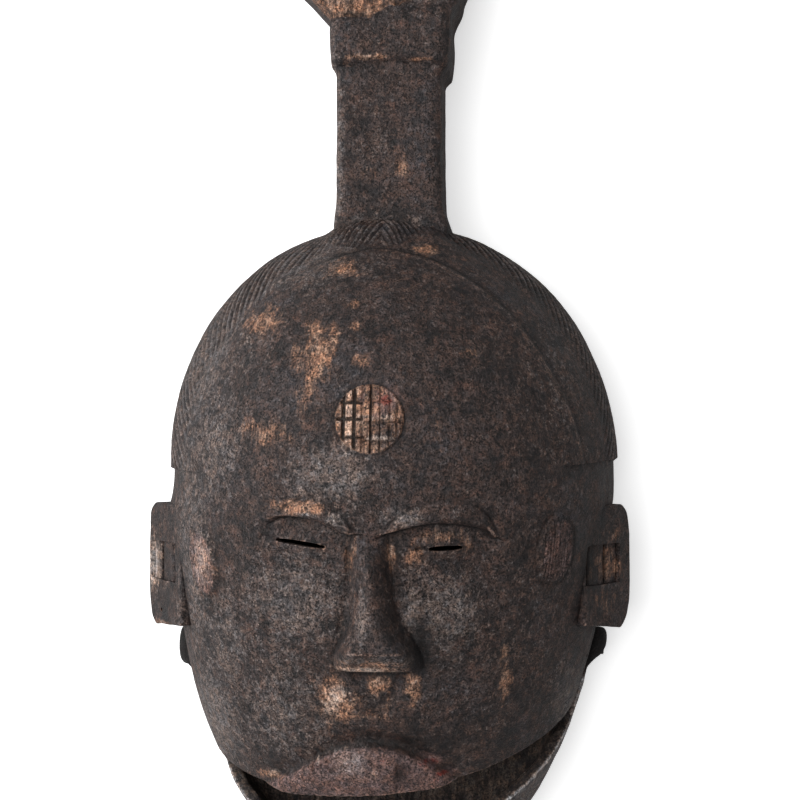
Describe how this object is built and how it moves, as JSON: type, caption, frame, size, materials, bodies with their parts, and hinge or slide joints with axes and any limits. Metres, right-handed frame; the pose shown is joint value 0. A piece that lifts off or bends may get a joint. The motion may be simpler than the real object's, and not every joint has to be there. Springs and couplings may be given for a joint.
{
  "type": "carved wooden face mask with hinged jaw",
  "caption": "Carved dark wood face mask with a hollow back, hair band, ears, a tall crest shaft with a flared finial, and a jaw that swings on pegs.",
  "frame": {"origin": "centre of the bounding box on the surface that the mask lies on, at the level of its rear rim", "axes": "+Z out of the face, +Y from the chin to the crown and the finial, +X to the right of the face as one looks at it"},
  "size_m": [0.213, 0.42, 0.1388],
  "materials": {
    "dark_wood": "dark, worn patina with bluish grey bloom and light rubbed edges",
    "jaw_wood": "dark patina outside, brown bare wood inside, glossy black lugs",
    "peg_wood": "dark, smooth"
  },
  "bodies": {
    "mask": {"mask": "dark_wood", "hinge_peg_left": "peg_wood", "hinge_peg_right": "peg_wood"},
    "jaw": {"jaw": "jaw_wood"}
  },
  "joints": [
    {"name": "jaw_hinge", "type": "hinge", "parent": "mask", "child": "jaw", "pos_m": [0, -0.104, 0.02], "axis": [-1, 0, 0], "range_deg": [0, 18]}
  ]
}
